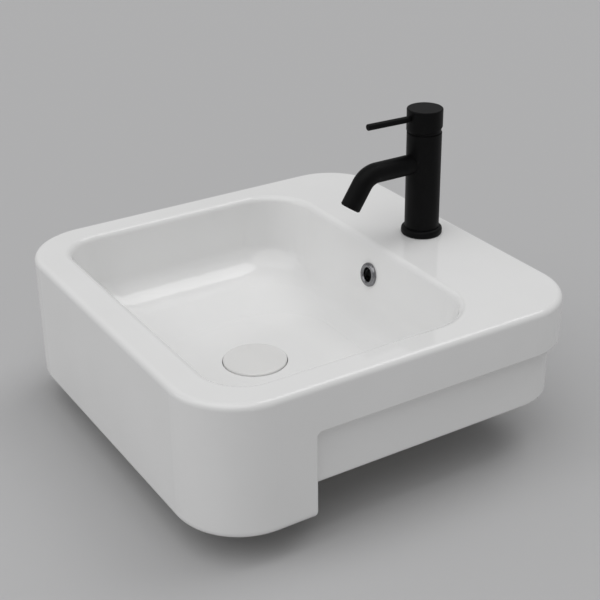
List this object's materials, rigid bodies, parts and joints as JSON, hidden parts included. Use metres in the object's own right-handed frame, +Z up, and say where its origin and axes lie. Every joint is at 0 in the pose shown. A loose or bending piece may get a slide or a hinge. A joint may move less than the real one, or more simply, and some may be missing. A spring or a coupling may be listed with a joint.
{
  "type": "semi recessed basin",
  "caption": "Semi recessed basin with deep front skirt, overflow ring and push-to-open waste plug, and a deck mixer tap with a pin lever.",
  "frame": {"origin": "on the seat that rests on the worktop, at the middle of its rear edge strip", "axes": "+X to the right as the user faces the basin, +Y to the wall behind, +Z up"},
  "size_m": [0.5, 0.49, 0.3575],
  "materials": {
    "china": "gloss",
    "black": "matt",
    "chrome": "polished",
    "brass": "machined",
    "steel": "brushed",
    "rubber": "matt",
    "pale_plastic": "matt",
    "grey_plastic": "matt",
    "disc_ceramic": "lapped"
  },
  "bodies": {
    "basin": {"basin_body": "china", "overflow_ring": "chrome", "waste_body": "chrome", "waste_top_seal": "rubber", "waste_gasket": "rubber", "waste_slip_washer": "pale_plastic", "waste_backnut": "brass", "plug_guide": "grey_plastic", "click_latch": "steel", "click_spring": "steel", "tap_body": "black", "tap_base_ring": "black", "tap_base_seal": "rubber", "spout": "black", "spout_seal": "rubber", "aerator_housing": "black", "aerator_insert": "grey_plastic", "aerator_seal": "rubber", "cartridge_gasket": "rubber", "cartridge_housing": "pale_plastic", "fixed_disc": "disc_ceramic", "cartridge_nut": "brass", "mounting_stud": "brass", "clamp_rubber": "rubber", "clamp_plate": "steel", "clamp_nut": "brass"},
    "plug": {"plug_cap": "china", "cap_carrier": "brass", "plug_seal": "rubber", "plug_stem": "brass"},
    "mixer_rotor": {"cartridge_rotor": "pale_plastic", "stem_pin": "steel", "neck_cover": "black"},
    "handle": {"cartridge_stem": "brass", "handle_cap": "black", "handle_lever": "black", "grub_screw": "steel"},
    "disc": {"moving_disc": "disc_ceramic"}
  },
  "joints": [
    {"name": "lever_turn", "type": "hinge", "parent": "basin", "child": "mixer_rotor", "pos_m": [0, -0.046, 0.1745], "axis": [0, 0, 1], "range_deg": [-45, 45]},
    {"name": "lever_tilt", "type": "hinge", "parent": "mixer_rotor", "child": "handle", "pos_m": [0, -0.046, 0.1745], "axis": [-1, 0, 0], "range_deg": [0, 20]},
    {"name": "disc_slide", "type": "slide", "parent": "mixer_rotor", "child": "disc", "axis": [0, -1, 0], "range_m": [0, 0.0017]},
    {"name": "plug_lift", "type": "slide", "parent": "basin", "child": "plug", "axis": [0, 0, 1], "range_m": [0, 0.008], "deforming": ["click_spring"]}
  ],
  "couplings": [
    {"joint": "disc_slide", "follows": "lever_tilt", "m_per_rad": 0.00455}
  ]
}
